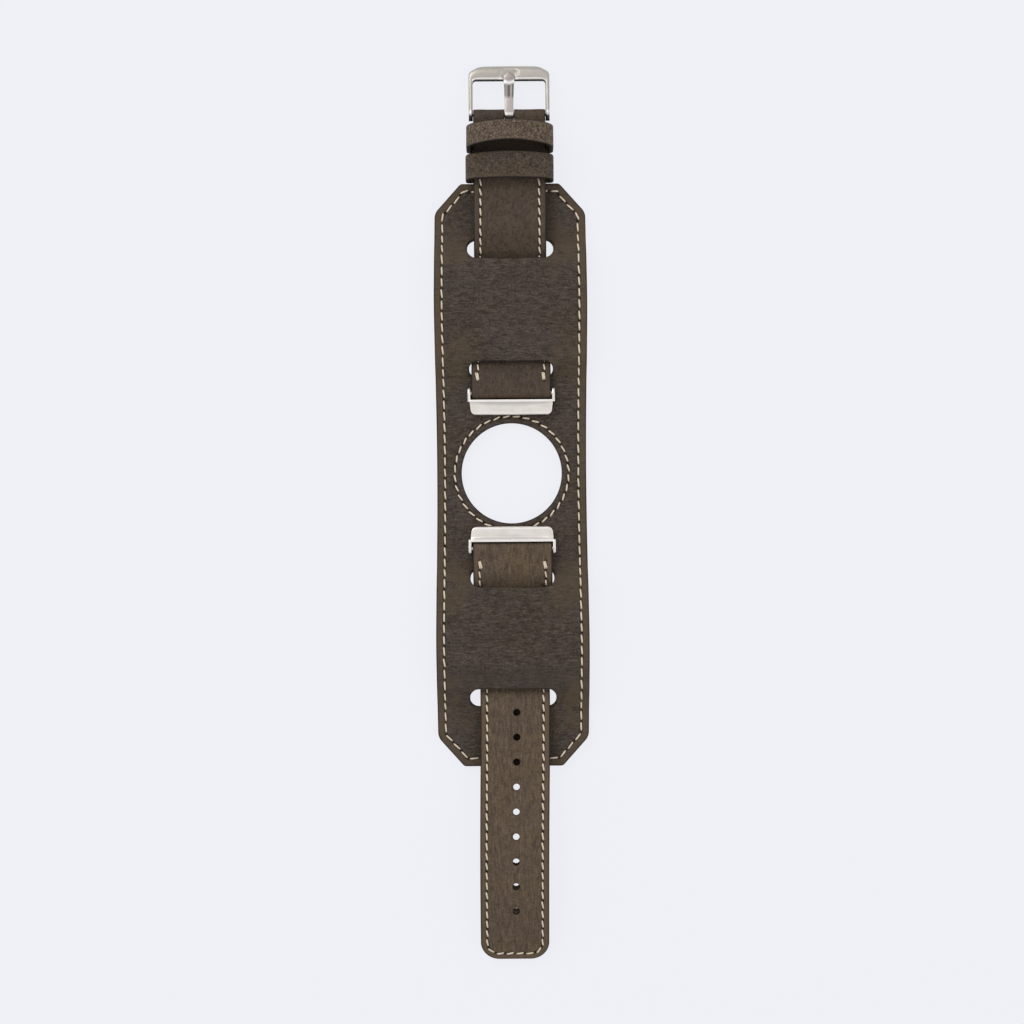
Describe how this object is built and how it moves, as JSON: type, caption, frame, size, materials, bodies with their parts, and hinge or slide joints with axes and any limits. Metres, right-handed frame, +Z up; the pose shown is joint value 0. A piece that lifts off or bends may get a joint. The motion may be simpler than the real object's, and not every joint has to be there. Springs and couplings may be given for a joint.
{
  "type": "bund watch strap",
  "caption": "Leather bund watch strap: a wide pad with a round window under a two-part strap woven through its slots, with steel connectors and a pin buckle",
  "frame": {"origin": "middle of the pad's round window, on the plane that the pad rests on", "axes": "+Y along the strap towards the buckle, +X across it, +Z up out of the pad towards the watch"},
  "size_m": [0.0448, 0.2602, 0.0119],
  "materials": {
    "pad_leather": "dark brown waxed pull-up leather, satin",
    "strap_leather": "dark brown waxed pull-up leather, satin",
    "tail_leather": "brown waxed pull-up leather, satin, a little lighter",
    "lining_leather": "plain brown lining leather, matt",
    "fixed_keeper_leather": "brown leather with a rough nap, matt",
    "free_keeper_leather": "dark brown mottled leather, satin",
    "thread": "waxed beige linen thread",
    "connector_steel": "satin stainless steel",
    "buckle_steel": "brushed stainless steel",
    "spring_bar_steel": "drawn stainless steel",
    "pin_steel": "turned stainless steel",
    "spring_steel": "spring wire"
  },
  "bodies": {
    "pad": {"pad_top_leather": "pad_leather", "pad_lining_leather": "lining_leather", "pad_edge_thread": "thread", "window_thread": "thread"},
    "buckle_strap": {"buckle_strap_top": "strap_leather", "buckle_strap_lining": "lining_leather", "buckle_strap_thread": "thread", "fixed_keeper": "fixed_keeper_leather", "spring_bar_barrel": "spring_bar_steel", "spring_bar_spring": "spring_steel"},
    "free_keeper": {"free_keeper": "free_keeper_leather"},
    "buckle": {"buckle_frame": "buckle_steel"},
    "tongue": {"buckle_tongue": "buckle_steel"},
    "left_tip": {"spring_bar_left_tip": "spring_bar_steel"},
    "right_tip": {"spring_bar_right_tip": "spring_bar_steel"},
    "tail_strap": {"tail_strap_top": "tail_leather", "tail_strap_lining": "lining_leather", "tail_strap_thread": "thread"},
    "upper_connector": {"upper_connector_body": "connector_steel", "upper_connector_pin": "pin_steel", "upper_connector_spring": "spring_steel"},
    "upper_nub": {"upper_connector_nub": "pin_steel"},
    "lower_connector": {"lower_connector_body": "connector_steel", "lower_connector_pin": "pin_steel", "lower_connector_spring": "spring_steel"},
    "lower_nub": {"lower_connector_nub": "pin_steel"}
  },
  "joints": [
    {"name": "buckle_strap_slide", "type": "slide", "parent": "pad", "child": "buckle_strap", "axis": [0, 1, 0], "range_m": [-0.0008, 0.0008]},
    {"name": "tail_strap_slide", "type": "slide", "parent": "pad", "child": "tail_strap", "axis": [0, 1, 0], "range_m": [-0.0008, 0.0008]},
    {"name": "free_keeper_slide", "type": "slide", "parent": "buckle_strap", "child": "free_keeper", "axis": [0, 0.9962, -0.0872], "range_m": [-0.01, 0.0008]},
    {"name": "buckle_swing", "type": "hinge", "parent": "buckle_strap", "child": "buckle", "pos_m": [0, 0.1044, 0.00301], "axis": [1, 0, 0], "range_deg": [-80, 10]},
    {"name": "tongue_swing", "type": "hinge", "parent": "buckle", "child": "tongue", "pos_m": [0, 0.1044, 0.00301], "axis": [1, 0, 0], "range_deg": [0, 75]},
    {"name": "left_tip_press", "type": "slide", "parent": "buckle_strap", "child": "left_tip", "axis": [1, 0, 0], "range_m": [0, 0.00075], "stiffness_N_per_m": 400, "springref_m": -0.001, "deforming": ["spring_bar_spring"]},
    {"name": "right_tip_press", "type": "slide", "parent": "buckle_strap", "child": "right_tip", "axis": [-1, 0, 0], "range_m": [0, 0.00075], "stiffness_N_per_m": 400, "springref_m": -0.001, "deforming": ["spring_bar_spring"]},
    {"name": "upper_connector_swing", "type": "hinge", "parent": "buckle_strap", "child": "upper_connector", "pos_m": [0, 0.02335, 0.0039], "axis": [-1, 0, 0], "range_deg": [-1, 80]},
    {"name": "lower_connector_swing", "type": "hinge", "parent": "tail_strap", "child": "lower_connector", "pos_m": [0, -0.02185, 0.0039], "axis": [1, 0, 0], "range_deg": [-1, 80]},
    {"name": "upper_nub_press", "type": "slide", "parent": "upper_connector", "child": "upper_nub", "axis": [0, 0, 1], "range_m": [0, 0.00025], "stiffness_N_per_m": 600, "springref_m": -0.0005, "deforming": ["upper_connector_spring"]},
    {"name": "lower_nub_press", "type": "slide", "parent": "lower_connector", "child": "lower_nub", "axis": [0, 0, 1], "range_m": [0, 0.00025], "stiffness_N_per_m": 600, "springref_m": -0.0005, "deforming": ["lower_connector_spring"]}
  ]
}
